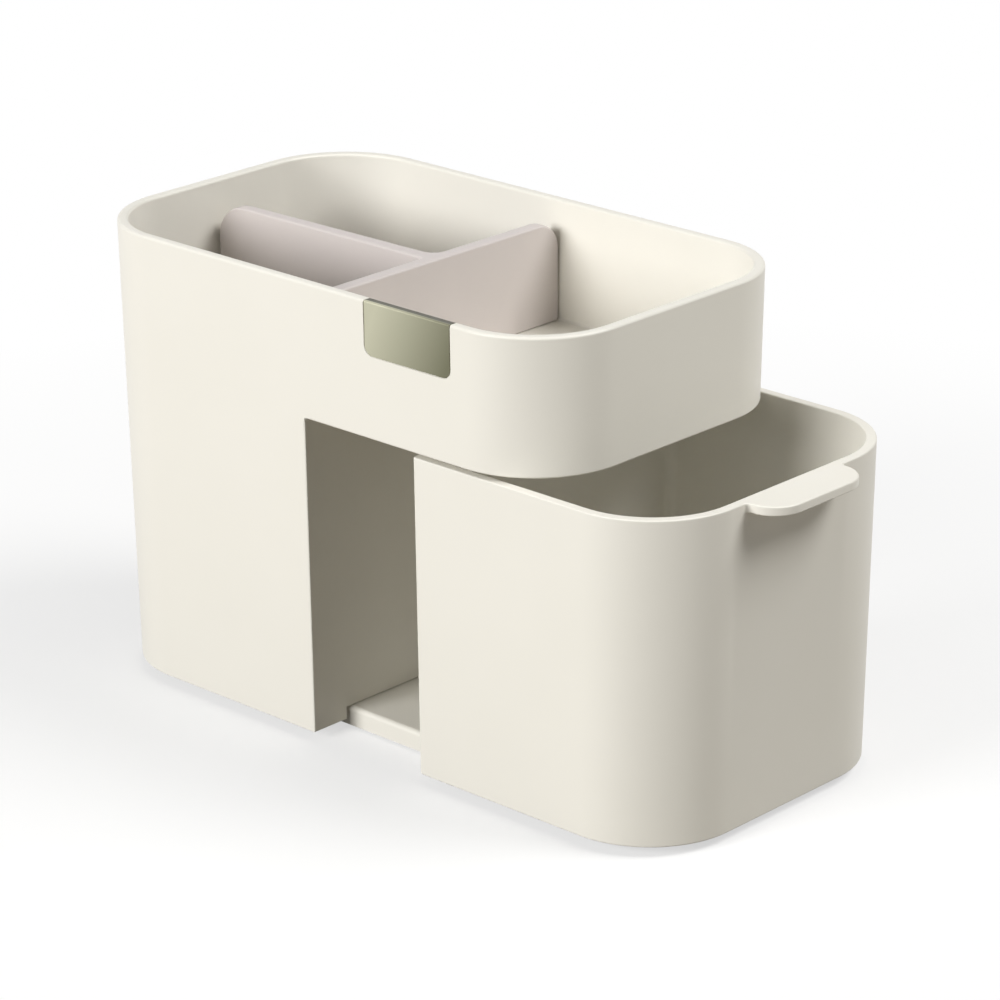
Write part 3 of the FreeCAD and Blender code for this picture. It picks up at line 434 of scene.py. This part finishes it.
PARTITION_TOP = PARTITION_LEFT - float(lean(TRAY_FLOOR))
SEAT_LEFT, SEAT_RIGHT = BADGE_MIDDLE - BADGE_HALF - SEAT_GAP, BADGE_MIDDLE + BADGE_HALF + SEAT_GAP
SEAT_FOOT = RIM - BADGE_DROP - SEAT_GAP
SEAT_CORNER = BADGE_CORNER + SEAT_GAP
BAY_SHOULDER = TRAY_UNDER - BAY_ROUND


def rim_profile():
    """Inset and level over the rim: a quarter round up, the flat, a quarter round down inside."""
    run, rise = quarter(RIM_ROUND, 5)
    inset = np.concatenate((run, WALL - run[::-1]))
    level = RIM - RIM_ROUND + np.concatenate((rise, rise[::-1]))
    return inset, level


def seat_profile():
    """The rim's profile under the badge: pushed in by the seat's depth, back to the inner wall at its end.

    Its last part falls a little, a hair off the inner wall, so that it never lies on the wall's own points.
    """
    run, rise = quarter(RIM_ROUND, 5)
    down = 1 - rise[::-1] / RIM_ROUND
    inset = np.concatenate((SEAT_DEPTH + run, WALL - 2 * HAIR * down - HAIR))
    level = np.concatenate((RIM - SEAT_DEPTH - RIM_ROUND + rise, RIM - SEAT_DEPTH - SEAT_FALL * down))
    level[0], inset[-1], level[-1] = RIM - RIM_ROUND, WALL, RIM - RIM_ROUND
    return inset, level


def seat_outline():
    """The seat's edge on the front, as (x, level): down one side, round the two corners, up the other."""
    angle = arc(180, 270, 8)
    turn_x, turn_z = SEAT_CORNER * (1 + np.cos(angle)), SEAT_CORNER * (1 + np.sin(angle))
    left = np.column_stack((SEAT_LEFT + turn_x, SEAT_FOOT + turn_z))
    right = np.column_stack((SEAT_LEFT + SEAT_RIGHT - left[::-1, 0], left[::-1, 1]))
    top = RIM - RIM_ROUND
    return np.vstack(([SEAT_LEFT, top], left, right, [SEAT_RIGHT, top]))


def notch_outline(half):
    """The opening over the base plate, as (y, level): up one side, across and down the other."""
    return [(half, WALLS_LOW), (half, NOTCH_TOP), (-half, NOTCH_TOP), (-half, WALLS_LOW)]


def on_front(outline, inset):
    """Points of an (x, level) outline on the drafted front, or an inset behind it."""
    x, level = outline[:, 0], outline[:, 1]
    return np.column_stack((x, -(HALF_WIDTH - lean(level) - inset), level))


def make_body():
    """One ring of columns round the rim, carried down as rows of the outer walls and of the tray's walls, a
    second ring for the compartment and a third for the hollow under it, joined by flat faces.
    """
    body = Surface()
    stops = [PARTITION_TOP - COMPARTMENT_CORNER, PARTITION_TOP, BAY_LEFT, BAY_LEFT + BAY_ROUND]
    front_stops = [*stops, SEAT_LEFT, SEAT_RIGHT]
    wall = columns(-BODY_HALF_LENGTH, BODY_HALF_LENGTH, HALF_WIDTH, (CORNER_LEFT, CORNER_RIGHT),
                   (CORNER_STEPS, CORNER_STEPS), front=front_stops, back=stops[::-1])

    # Columns where the ring passes the partition's top, the bay's left edge, the bay's round and the seat
    partition, bay, turned, seat = 1, 2, 3, 4
    turned_behind = len(front_stops) + 2 * (CORNER_STEPS + 1)
    bay_behind, partition_behind = turned_behind + 1, turned_behind + 2
    left_side = [*range(bay_behind, len(wall)), *range(bay + 1)]
    right_side = list(range(turned, turned_behind + 1))

    # Outside: the tray's band all round, and the compartment's walls down to their foot
    seat_top = SEAT_FOOT + SEAT_CORNER
    band = rows(wall, [0, 0, 0], [TRAY_UNDER, seat_top, RIM - RIM_ROUND])
    body.grid(band, closed=True, skip=[(0, seat), (1, seat)])
    outline = seat_outline()
    edge = on_front(outline, 0)
    body.face(band[0, seat:seat + 2], band[1, seat + 1], edge[1:-1][::-1])
    walls = rows(wall[left_side], [0, 0, 0], [WALLS_LOW, BAY_SHOULDER, TRAY_UNDER])
    body.grid(walls)

    # Rim, and the badge's seat in it
    inset, level = rim_profile()
    rim = rows(wall, inset, level)
    body.grid(rim, closed=True, skip=[(row, seat) for row in range(len(inset) - 1)])
    inset, level = seat_profile()
    sunk = rows(wall[seat:seat + 2], inset, level)
    body.grid(sunk)
    for side in (0, 1):
        body.face(rim[:, seat + side], sunk[:-1, side][::-1])
    floor = on_front(outline, SEAT_DEPTH)
    body.grid(np.stack((edge, floor)))
    body.face(floor)

    # Bay: the partition's face with the base plate's notch, the rounded corner, the ceiling
    foot, shoulder = HALF_WIDTH - lean(WALLS_LOW), HALF_WIDTH - lean(BAY_SHOULDER)
    notch = notch_outline(NOTCH_HALF)
    across = [(-foot, WALLS_LOW), (-shoulder, BAY_SHOULDER), (shoulder, BAY_SHOULDER), (foot, WALLS_LOW)]
    body.face([(BAY_LEFT, y, z) for y, z in across + notch])
    run, rise = quarter(BAY_ROUND, 6)
    turn_level = BAY_SHOULDER + rise
    half = HALF_WIDTH - lean(turn_level)
    turn = np.stack([np.column_stack((BAY_LEFT + run, side * half, turn_level)) for side in (-1, 1)], axis=1)
    body.grid(turn)
    for side, stop in ((0, bay), (1, bay_behind)):
        body.face(turn[:, side], band[0, stop])
    body.face(band[0, right_side])

    # Inside: the tray's walls, its floor's fillet, the floor
    inner_top = TRAY_FLOOR + TRAY_ROUND
    body.grid(rows(wall, [WALL, WALL], [RIM - RIM_ROUND, inner_top]), closed=True)
    tray_side = list(range(partition, partition_behind + 1))
    radius = np.full(len(tray_side), TRAY_ROUND)
    radius[[0, -1]] = 0
    angle = arc(0, 90, 6)[:, None]
    inset = WALL + radius * (1 - np.cos(angle))
    level = TRAY_FLOOR + radius * (1 - np.sin(angle))
    inset, level = (np.vstack((first, rest)) for first, rest in (
        (np.full(len(tray_side), WALL), inset), (np.full(len(tray_side), inner_top), level)))
    fillet = rows(wall[tray_side], inset, level)
    body.grid(fillet)
    pocket_side = [*range(partition_behind, len(wall)), *range(partition + 1)]
    body.grid(rows(wall[pocket_side], [WALL, WALL], [inner_top, TRAY_FLOOR]))
    pocket = columns(WALL - BODY_HALF_LENGTH, PARTITION_LEFT, HALF_WIDTH - WALL,
                     (CORNER_LEFT - WALL, COMPARTMENT_CORNER), (CORNER_STEPS, POCKET_STEPS))
    run, rise = quarter(FLOOR_ROUND, 6)
    inset = np.concatenate(([0, 0], run[1:]))
    level = np.concatenate(([TRAY_FLOOR, FLOOR_TOP + FLOOR_ROUND], FLOOR_TOP + FLOOR_ROUND - rise[1:]))
    compartment = rows(pocket, inset, level)
    body.grid(compartment, closed=True)
    body.face(compartment[-1])
    beside_tray = 2 * (POCKET_STEPS + 1)
    body.face(fillet[-1], compartment[0, :beside_tray][::-1])

    # Underside: the hollow under the compartment's floor, the notch, the foot, the screw bosses
    wall_right = BAY_LEFT - PARTITION_FOOT
    foot_length = BODY_HALF_LENGTH - float(lean(WALLS_LOW))
    hollow = columns(WALL - foot_length, wall_right, float(foot) - WALL,
                     (CORNER_LEFT - WALL, COMPARTMENT_CORNER), (CORNER_STEPS, POCKET_STEPS),
                     side=[-NOTCH_HALF, NOTCH_HALF])
    hollow[:, 2:4] = 0
    skirt = rows(hollow, [0, 0, 0], [WALLS_LOW, NOTCH_TOP, FLOOR_UNDER])
    start = POCKET_STEPS + 1
    end = start + 1
    body.grid(skirt, closed=True, skip=[(0, start)])
    body.face(skirt[-1])
    notch_edge = np.array([(BAY_LEFT, y, z) for y, z in notch[::-1]])
    inner_edge = skirt[[0, 1, 1, 0], [start, start, end, end]]
    body.grid(np.stack((notch_edge, inner_edge)))
    body.face(walls[0], notch_edge[0], np.roll(skirt[0], -end, axis=0)[::-1], notch_edge[-1])
    for x in FLOOR_BOSSES_X:
        for y in FLOOR_BOSSES_Y:
            add_boss(body, x, y, FLOOR_BOSS, SCREW_HOLE, FLOOR_BOSS_LOW, FLOOR_UNDER + BOSS_SINK)
    return body


# Drawer: a tub with a finger tab

def tab_columns():
    """The tab's edge as a ring's columns: out of the wall round a root arc, along the side, round the corner.

    The root's columns lean with the wall at their start and stand upright where the side begins.
    """
    root, corner = arc(0, 90, 5), arc(-90, 0, 12)
    foot = TAB_HALF + TAB_ROOT
    wall = DRAWER_RIGHT - float(lean(DRAWER_RIM))
    stand = np.linspace(1, 0, len(root))
    reach = wall + TAB_ROOT * (1 - np.cos(root)) + stand * float(lean(DRAWER_RIM))
    out = np.column_stack((
        reach, TAB_ROOT * np.sin(root) - foot, -stand, 0 * root, np.cos(root), -np.sin(root)))
    turn = np.column_stack((
        TAB_TIP - TAB_CORNER * (1 - np.cos(corner)), TAB_CORNER * (1 + np.sin(corner)) - TAB_HALF,
        0 * corner, 0 * corner, np.cos(corner), np.sin(corner)))
    near = np.vstack((out, turn))
    return np.vstack((near, near[::-1] * (1, -1, 1, 1, 1, -1)))


def make_drawer():
    """A ring of columns outside and one inside, carried down as rows, with the tab's edge as a third ring in
    the gap that the outer one leaves at its right end.
    """
    drawer = Surface()
    foot = TAB_HALF + TAB_ROOT
    steps, stops = (LEFT_STEPS, CORNER_STEPS), [-foot, foot]
    wall = columns(DRAWER_LEFT, DRAWER_RIGHT, HALF_WIDTH, (DRAWER_EDGE, CORNER_RIGHT), steps,
                   side=stops, left_leans=0)
    inside = columns(DRAWER_LEFT + DRAWER_WALL, DRAWER_RIGHT - DRAWER_WALL, HALF_WIDTH - DRAWER_WALL,
                     (DRAWER_INNER_CORNER, CORNER_RIGHT - DRAWER_WALL), steps, side=stops, left_leans=0)
    tab_side = CORNER_STEPS + 1
    left_end = 2 * tab_side + len(stops) + LEFT_STEPS
    left_start = left_end + 1

    # Outside and the rim's outer edge, with the tab's edge in the gap that they leave
    run, rise = quarter(DRAWER_RIM_ROUND, 4)
    over = DRAWER_RIM - DRAWER_RIM_ROUND + rise
    outer = rows(wall, np.concatenate(([0, 0], run)), np.concatenate(([WALLS_LOW, TAB_LOW], over)))
    gap = [(row, tab_side) for row in range(1, len(outer) - 1)]
    drawer.grid(outer, closed=True, skip=[(0, left_end), *gap])
    edge = tab_columns()
    ease = TAB_UNDER_ROUND * np.clip(np.minimum(np.arange(len(edge)), np.arange(len(edge))[::-1]) / 5, 0, 1)
    angle = arc(0, 90, 4)[::-1, None]
    under = rows(edge, ease * (1 - np.cos(angle)), TAB_LOW + ease * (1 - np.sin(angle)))
    tab = np.concatenate((under, rows(edge, run, over)))
    drawer.grid(tab)
    drawer.face(tab[0])
    drawer.face(tab[-1])

    # Inside
    floor_run, floor_rise = quarter(FLOOR_ROUND, 6)
    inset = np.concatenate((-run[::-1], [0], floor_run[1:]))
    level = np.concatenate((over[::-1], [FLOOR_TOP + FLOOR_ROUND], FLOOR_TOP + FLOOR_ROUND - floor_rise[1:]))
    tub = rows(inside, inset, level)
    drawer.grid(tub, closed=True)
    drawer.face(tub[-1])
    drawer.grid(np.stack((outer[-1], tub[0])), closed=True)

    # Underside: the skirt with the base plate's opening, ribs and screw bosses
    hollow = inside.copy()
    hollow[:, 0:2] += hollow[:, 2:4] * float(lean(WALLS_LOW))
    hollow[:, 2:4] = 0
    skirt = rows(hollow, [0, 0], [WALLS_LOW, FLOOR_UNDER])
    drawer.grid(skirt, closed=True, skip=[(0, left_end)])
    drawer.face(skirt[-1])
    opening = notch_outline(DRAWER_NOTCH_HALF)
    outer_edge, inner_edge = (np.array([(x, y, z) for y, z in opening])
                              for x in (DRAWER_LEFT, DRAWER_LEFT + DRAWER_WALL))
    drawer.grid(np.stack((outer_edge, inner_edge)))
    for wall_rows, cut in ((outer[:2], outer_edge), (skirt, inner_edge)):
        drawer.face(wall_rows[0, left_end], cut, wall_rows[0, left_start], wall_rows[1, left_start],
                    wall_rows[1, left_end])
    around = [*range(left_start, len(wall)), *range(left_start)]
    drawer.face(outer[0, around], outer_edge[0], inner_edge[0], skirt[0, around][::-1],
                inner_edge[-1], outer_edge[-1])
    left, top = DRAWER_LEFT + DRAWER_WALL / 2, FLOOR_UNDER + RIB_SINK
    for side in (-1, 1):
        for inner, low, right in (
            (DRAWER_NOTCH_HALF, GUIDE_LOW, GUIDE_END), (GLIDE_INNER, NOTCH_TOP, GLIDE_END),
        ):
            y_low, y_high = sorted((side * inner, side * (inner + RIB)))
            drawer.prism(box_outline(left, right, y_low, y_high), low, top)
        add_boss(drawer, KEEPER_BOSS_X, side * KEEPER_BOSS_Y, KEEPER_BOSS, SCREW_HOLE, NOTCH_TOP, top)
    return drawer


# Divider: a cross fin on the partition, and a long fin down the compartment's middle

def corner_arc(y, z, radius, start):
    """A quarter circle of an upright outline round (y, z), anticlockwise from the start angle."""
    angle = arc(start, start + 90, 8)
    return np.column_stack((y + radius * np.cos(angle), z + radius * np.sin(angle)))


def cross_fin_outline(root, side):
    """Half of the cross fin's outline, from the root at the long fin's side out to one wall and back."""
    low, high = TRAY_FLOOR + TRAY_ROUND, FIN_TOP - FIN_SHOULDER
    if side < 0:
        foot = corner_arc(TRAY_ROUND - FIN_END, low, TRAY_ROUND, 180)[::-1]
        top = corner_arc(FIN_SHOULDER - FIN_END, high, FIN_SHOULDER, 90)[::-1]
    else:
        foot = corner_arc(FIN_END - TRAY_ROUND, low, TRAY_ROUND, 270)
        top = corner_arc(FIN_END - FIN_SHOULDER, high, FIN_SHOULDER, 0)
    return np.vstack(([root, TRAY_FLOOR], foot, top, [root, FIN_TOP]))


def make_divider():
    """Two outlines carried along straight lines: the cross fin's along x, and the long fin's along y by a
    half thickness that falls towards its free end. An arc in plan joins them on either side.
    """
    divider = Surface()
    tip_high, tip_low = (-(BODY_HALF_LENGTH - float(lean(z)) - WALL - TIP_PLAY) for z in (FIN_TOP, BLADE_LOW))
    blade_high, blade_low = (PARTITION_LEFT - float(lean(z)) - BLADE_PLAY for z in (TRAY_FLOOR, BLADE_LOW))
    slope = FIN_FALL / (FIN_LEFT - tip_high)

    def half(x):
        """The long fin's half thickness, which falls evenly from the cross fin to the free end."""
        share = (np.asarray(x) - tip_high) / (FIN_LEFT - tip_high)
        return FIN_TIP_HALF + (FIN_ROOT_HALF - FIN_TIP_HALF) * share

    def fillet(side, radius):
        """The inner corner's arc in plan, from the cross fin's face to the long fin's side."""
        angle = arc(0, 90, 6)
        drop = radius + FIN_ROOT_HALF - half(FIN_LEFT - radius)
        x, y = FIN_LEFT - radius * (1 - np.cos(angle)), FIN_ROOT_HALF + radius - drop * np.sin(angle)
        return np.column_stack((x, side * y))

    def outline(start):
        """Along the falling top, down the free end, along the bottom and up the blade's right edge."""
        upper = corner_arc(tip_high + FIN_CORNER, FIN_TOP - FIN_FALL - FIN_CORNER, FIN_CORNER, 90)
        upper[:, 1] += slope * (upper[:, 0] - tip_high)
        lower = corner_arc(tip_low + BLADE_CORNER, BLADE_LOW + BLADE_CORNER, BLADE_CORNER, 180)
        right = corner_arc(blade_low - BLADE_CORNER, BLADE_LOW + BLADE_CORNER, BLADE_CORNER, 270)
        first = (start, FIN_TOP - slope * (FIN_LEFT - start))
        return np.vstack((first, upper, lower, right, (blade_high, TRAY_FLOOR)))

    # Cross fin: its left and right face on either side of the long fin, and the strip between the faces
    arcs = {-1: fillet(-1, FILLET_FRONT), 1: fillet(1, FILLET_BEHIND)}
    cross = {}
    for side, plan in arcs.items():
        edge = cross_fin_outline(plan[0, 1], side)
        faces = [np.column_stack((np.full(len(edge), x), edge)) for x in (FIN_LEFT, FIN_RIGHT)]
        cross[side] = np.stack(faces)
        divider.grid(cross[side])
        divider.face(cross[side][0])
    divider.face(cross[-1][1], cross[1][1][::-1])

    # Long fin: its outline seen from the front, cut off by each arc
    sides, joins = [], {}
    for side, plan in arcs.items():
        start = plan[-1, 0]
        path = outline(start)
        sides.append(np.column_stack((path[:, 0], side * half(path[:, 0]), path[:, 1])))
        top = FIN_TOP - slope * (FIN_LEFT - plan[:, 0])
        foot = np.full(len(top), TRAY_FLOOR)
        joins[side] = np.stack([np.column_stack((plan, level)) for level in (foot, top)])
        divider.grid(joins[side])
        divider.face(sides[-1], (start, plan[-1, 1], TRAY_FLOOR))
    sides = np.stack(sides)
    divider.grid(sides[:, 1:])
    for end, row, place in ((-1, 1, 1), (0, 0, -1)):
        divider.face(cross[-1][1][end], joins[-1][row], sides[0, place], sides[1, place],
                     joins[1][row][::-1], cross[1][1][end])
    return divider


# Badge: one sheet, bent over the rim

def badge_face(depth):
    """A face of the sheet at a depth below the body's own surface: x across it, and up it the front's height,
    then the fold, the flat over the rim and the start of the way down inside, each moved in by the depth.

    Near each side the sheet's foot rises as a quarter circle does: radius - sqrt(radius^2 - distance^2).
    """
    turn = BADGE_CORNER * (1 - np.cos(arc(0, 90, 8)))
    across = np.concatenate((turn, [BADGE_HALF], 2 * BADGE_HALF - turn[::-1])) - BADGE_HALF
    near = np.clip(np.abs(across) - (BADGE_HALF - BADGE_CORNER), 0, None)
    foot = RIM - BADGE_DROP + BADGE_CORNER - np.sqrt(BADGE_CORNER ** 2 - near ** 2)
    fold, end = arc(0, 90, 6), arc(90, 180, 6)[:-2]
    inset = np.concatenate((BADGE_FOLD - (BADGE_FOLD - depth) * np.cos(fold),
                            WALL - RIM_ROUND - (RIM_ROUND - depth) * np.cos(end)))[:, None]
    level = np.concatenate((RIM - BADGE_FOLD + (BADGE_FOLD - depth) * np.sin(fold),
                            RIM - RIM_ROUND + (RIM_ROUND - depth) * np.sin(end)))[:, None]
    share = np.linspace(0, 1, 5)[:-1, None]
    front = foot * (1 - share) + (RIM - BADGE_FOLD) * share
    height = np.vstack((front, np.broadcast_to(level, (len(level), len(foot)))))
    inset = np.vstack((np.full((len(front), 1), depth), inset))
    y = -(HALF_WIDTH - lean(height) - inset)
    return np.stack((np.broadcast_to(BADGE_MIDDLE + across, y.shape), y, height), axis=-1)


def make_badge():
    """The sheet's outer and inner face, each a grid at its own depth, and a strip along every edge."""
    badge = Surface()
    outside, inside = badge_face(BADGE_OUTSIDE), badge_face(BADGE_INSIDE)
    badge.grid(outside)
    badge.grid(inside)
    for edge in (np.s_[0], np.s_[-1], np.s_[:, 0], np.s_[:, -1]):
        badge.grid(np.stack((outside[edge], inside[edge])))
    return badge


# Roundings: the share of each piece's own radius that a sharp edge gets

def body_rounding(start, end):
    """Less at the bay's upper corner, on the partition's top near the walls and round the badge's seat."""
    x, y, z = (start + end) / 2
    if BAY_SHOULDER - NEAR < z and x < BAY_LEFT + BAY_ROUND:
        to_wall = float(np.clip((HALF_WIDTH - WALL - abs(y)) / 8, 0.1, 1))
        return 0.4 if z < TRAY_UNDER + NEAR else 0.6 * to_wall
    if y < 0 and SEAT_LEFT - 1 < x < SEAT_RIGHT + 1 and z > SEAT_FOOT - 1:
        return 0.2
    if z < FLOOR_UNDER + 1:
        return 0.5 if max(start[2], end[2]) < WALLS_LOW + NEAR else 0.0
    return 1.0


def drawer_rounding(start, end):
    """Only at the foot, because the rim and the tab have their roundings in the mesh."""
    return 1.0 if max(start[2], end[2]) < WALLS_LOW + NEAR else 0.0


def even_rounding(start, end):
    return 1.0


# Pieces of the scene, each in place of its solid

for node, make, name, finish, rule, width in (
    ("body_shell", make_body, "body_moulding", CREAM, body_rounding, 0.7),
    ("drawer", make_drawer, "drawer_tub", CREAM, drawer_rounding, 0.5),
    ("divider", make_divider, "divider_fins", BLUSH, even_rounding, 0.8),
    ("badge_plate", make_badge, "badge_sheet", PEWTER, even_rounding, 0.12),
):
    piece = make().piece(name, finish, rule, width)
    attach(piece, frame["nodes"][node]["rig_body"])
    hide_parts(node)


# Floor, lamps, world

DOME = 0.1
FLOOR_SIZE, FLOOR_THROW = 4.0, colour(122, 115, 102)
LAMP_AWAY, WARM = 2.2, (1.0, 0.995, 0.985)


def background_ray(nodes, links):
    """1 for a ray by which the floor and the world are seen, straight on, in gloss or through glass."""
    path = nodes.new("ShaderNodeLightPath")
    seen = path.outputs["Is Camera Ray"]
    for kind in ("Is Glossy Ray", "Is Transmission Ray"):
        larger = nodes.new("ShaderNodeMath")
        larger.operation = "MAXIMUM"
        links.new(seen, larger.inputs[0])
        links.new(path.outputs[kind], larger.inputs[1])
        seen = larger.outputs[0]
    return seen


def make_floor():
    """White where it is seen, with the object's shadow on it, and grey for the light that it throws back."""
    material, nodes, links, shader = new_material("pale_floor")
    place = nodes.new("ShaderNodeTexCoord").outputs["Object"]
    cloud = noise(nodes, links, place, 3.0)
    seen = background_ray(nodes, links)
    paper = mix(nodes, links, cloud, colour(252, 252, 251), colour(249, 249, 248))
    tone = nodes.new("ShaderNodeMix")
    tone.data_type = "RGBA"
    tone.inputs["A"].default_value = FLOOR_THROW
    links.new(seen, tone.inputs["Factor"])
    links.new(paper, tone.inputs["B"])
    links.new(tone.outputs["Result"], shader.inputs["Base Color"])
    shader.inputs["Roughness"].default_value = 0.9
    shader.inputs["Specular IOR Level"].default_value = 0.1
    distance = nodes.new("ShaderNodeVectorMath")
    distance.operation = "LENGTH"
    links.new(place, distance.inputs[0])
    lift = nodes.new("ShaderNodeMath")
    lift.operation = "MULTIPLY"
    links.new(seen, lift.inputs[0])
    links.new(spread(nodes, links, distance.outputs["Value"], 0.6, 1.0, 0.12, 0.42), lift.inputs[1])
    white = nodes.new("ShaderNodeEmission")
    blend = nodes.new("ShaderNodeMixShader")
    links.new(lift.outputs[0], blend.inputs[0])
    links.new(shader.outputs[0], blend.inputs[1])
    links.new(white.outputs[0], blend.inputs[2])
    links.new(blend.outputs[0], nodes["Material Output"].inputs["Surface"])
    mesh = bpy.data.meshes.new("floor")
    corners = [(x, y, 0) for x, y in box_outline(-FLOOR_SIZE, FLOOR_SIZE, -FLOOR_SIZE, FLOOR_SIZE)]
    mesh.from_pydata(corners, [], [(0, 1, 2, 3)])
    mesh.materials.append(material)
    floor = bpy.data.objects.new("floor", mesh)
    bpy.context.scene.collection.objects.link(floor)


def make_lamp(name, turn, lift, size, power, tint):
    """A round soft lamp that faces the object's middle. Its turn is from the front, to the left."""
    light = bpy.data.lights.new(name, "AREA")
    light.shape = "DISK"
    light.size = size
    light.energy = power
    light.color = tint
    lamp = bpy.data.objects.new(name, light)
    bpy.context.scene.collection.objects.link(lamp)
    turn, lift = math.radians(turn), math.radians(lift)
    away = Vector((-math.sin(turn) * math.cos(lift), -math.cos(turn) * math.cos(lift), math.sin(lift)))
    lamp.location = at(28.5, 0, 80) + away * LAMP_AWAY
    lamp.rotation_euler = away.to_track_quat("Z", "Y").to_euler()


def make_world():
    """A dim even sky for the light, and plain white where it is seen."""
    world = bpy.data.worlds.new("studio")
    world.use_nodes = True
    nodes, links = world.node_tree.nodes, world.node_tree.links
    soft = nodes["Background"]
    soft.inputs["Color"].default_value = (*WARM, 1.0)
    soft.inputs["Strength"].default_value = DOME
    white = nodes.new("ShaderNodeBackground")
    white.inputs["Color"].default_value = (1.0, 1.0, 1.0, 1.0)
    white.inputs["Strength"].default_value = 1.0
    blend = nodes.new("ShaderNodeMixShader")
    links.new(background_ray(nodes, links), blend.inputs[0])
    links.new(soft.outputs[0], blend.inputs[1])
    links.new(white.outputs[0], blend.inputs[2])
    links.new(blend.outputs[0], nodes["World Output"].inputs["Surface"])
    bpy.context.scene.world = world


make_floor()
make_lamp("front_lamp", 10, 19, 1.0, 46.0, (1.0, 1.0, 1.0))
make_lamp("back_lamp", -123, 51, 1.1, 37.5, WARM)
make_lamp("side_lamp", -95, 8, 0.8, 1.8, WARM)
make_world()
bpy.context.scene.view_settings.view_transform = "Standard"
